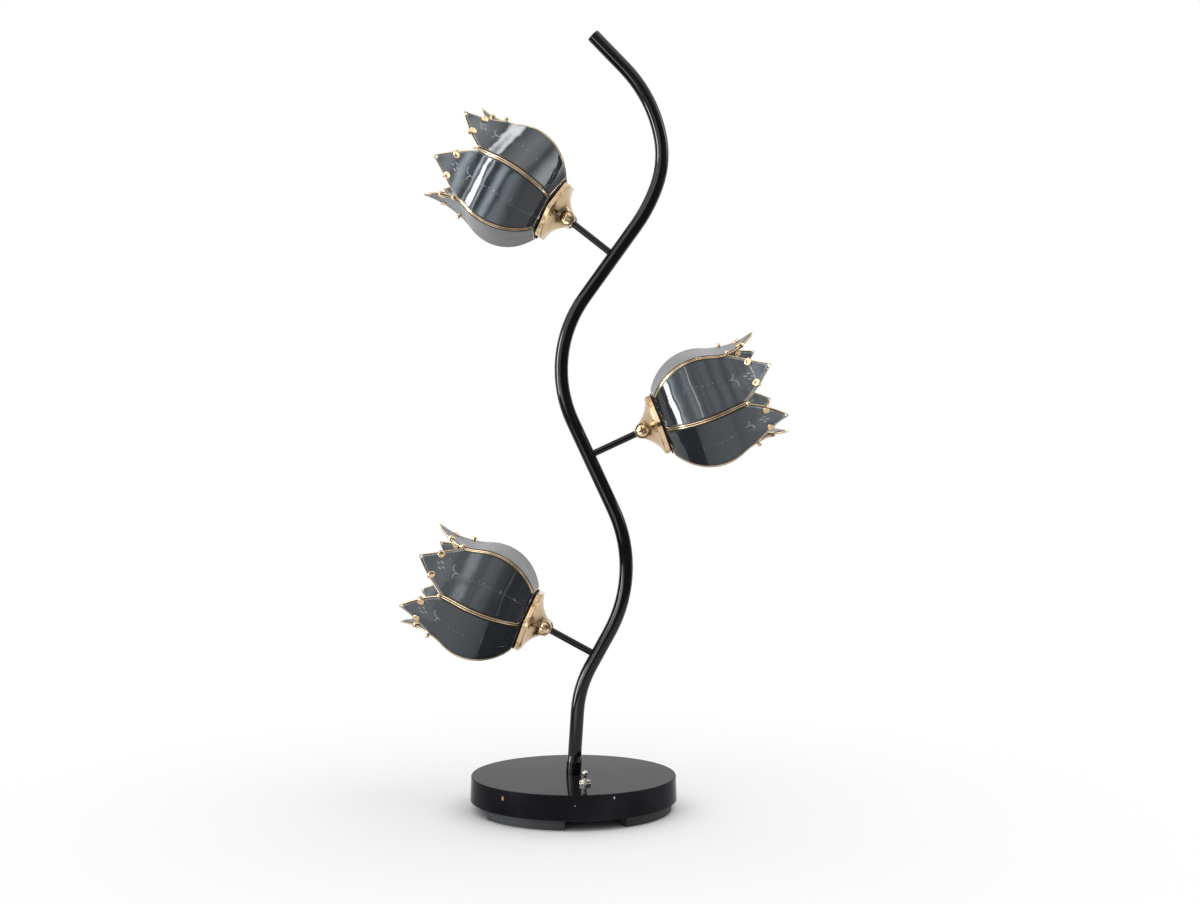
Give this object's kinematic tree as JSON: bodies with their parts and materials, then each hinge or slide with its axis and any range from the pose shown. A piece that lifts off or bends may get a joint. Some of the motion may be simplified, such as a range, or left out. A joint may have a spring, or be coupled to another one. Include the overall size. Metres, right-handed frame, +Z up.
{
  "type": "table lamp",
  "caption": "Table lamp with a bent black tube stem on a round base, tilting flower shades of wire-edged smoked glass petals, and a toggle switch.",
  "frame": {"origin": "on the floor under the middle of the part's outline, so the base centre lies at x = -18.7 mm", "axes": "+Z up, +X to the right as pictured, -Y towards the viewer"},
  "size_m": [0.3673, 0.1941, 0.722],
  "materials": {
    "black_lacquer": "high gloss black lacquer, chipped to bare metal in a few spots",
    "moulded_black": "matte moulded black",
    "plain_steel": "zinc plated",
    "warm_nickel": "warm nickel plate, slightly worn",
    "smoked_glass": "smoked grey, polished, with fine etched sprigs",
    "pearl_glass": "frosted",
    "holder_cream": "moulded",
    "dark_brass": "dull, darkened",
    "polished_brass": "polished, lightly tarnished"
  },
  "bodies": {
    "stand": {"base_shell": "black_lacquer", "base_weight": "plain_steel", "base_cover": "moulded_black", "foot_ring": "moulded_black", "cover_screws": "plain_steel", "cord_bush": "moulded_black", "stem": "black_lacquer", "stem_sleeve": "black_lacquer", "stem_washer": "plain_steel", "stem_locknut": "polished_brass", "stem_plug": "black_lacquer", "arm_top": "black_lacquer", "arm_middle": "black_lacquer", "arm_bottom": "black_lacquer", "switch_body": "warm_nickel", "switch_nut": "warm_nickel"},
    "toggle": {"toggle_lever": "warm_nickel"},
    "head_top": {"top_calyx": "polished_brass", "top_pivot_screw": "polished_brass", "top_plate": "dark_brass", "top_wires": "polished_brass", "top_clips": "polished_brass", "top_holder": "holder_cream", "top_bulb": "pearl_glass", "top_petal_1": "smoked_glass", "top_petal_2": "smoked_glass", "top_petal_3": "smoked_glass", "top_petal_4": "smoked_glass", "top_petal_5": "smoked_glass", "top_petal_6": "smoked_glass"},
    "head_middle": {"middle_calyx": "polished_brass", "middle_pivot_screw": "polished_brass", "middle_plate": "dark_brass", "middle_wires": "polished_brass", "middle_clips": "polished_brass", "middle_holder": "holder_cream", "middle_bulb": "pearl_glass", "middle_petal_1": "smoked_glass", "middle_petal_2": "smoked_glass", "middle_petal_3": "smoked_glass", "middle_petal_4": "smoked_glass", "middle_petal_5": "smoked_glass", "middle_petal_6": "smoked_glass"},
    "head_bottom": {"bottom_calyx": "polished_brass", "bottom_pivot_screw": "polished_brass", "bottom_plate": "dark_brass", "bottom_wires": "polished_brass", "bottom_clips": "polished_brass", "bottom_holder": "holder_cream", "bottom_bulb": "pearl_glass", "bottom_petal_1": "smoked_glass", "bottom_petal_2": "smoked_glass", "bottom_petal_3": "smoked_glass", "bottom_petal_4": "smoked_glass", "bottom_petal_5": "smoked_glass", "bottom_petal_6": "smoked_glass"}
  },
  "joints": [
    {"name": "head_tilt_top", "type": "hinge", "parent": "stand", "child": "head_top", "pos_m": [-0.02365, 0.00525, 0.54695], "axis": [0.1219, 0.9925, 0], "range_deg": [-17.8, 32.2]},
    {"name": "head_tilt_middle", "type": "hinge", "parent": "stand", "child": "head_middle", "pos_m": [0.04507, 0, 0.35019], "axis": [0, -1, 0], "range_deg": [-20.8, 29.2]},
    {"name": "head_tilt_bottom", "type": "hinge", "parent": "stand", "child": "head_bottom", "pos_m": [-0.04568, 0.00423, 0.16739], "axis": [0.0872, 0.9962, 0], "range_deg": [-19.9, 30.1]},
    {"name": "switch_toggle", "type": "hinge", "parent": "stand", "child": "toggle", "pos_m": [-0.0077, -0.046, 0.0327], "axis": [-1, 0, 0], "range_deg": [0, 24]}
  ]
}
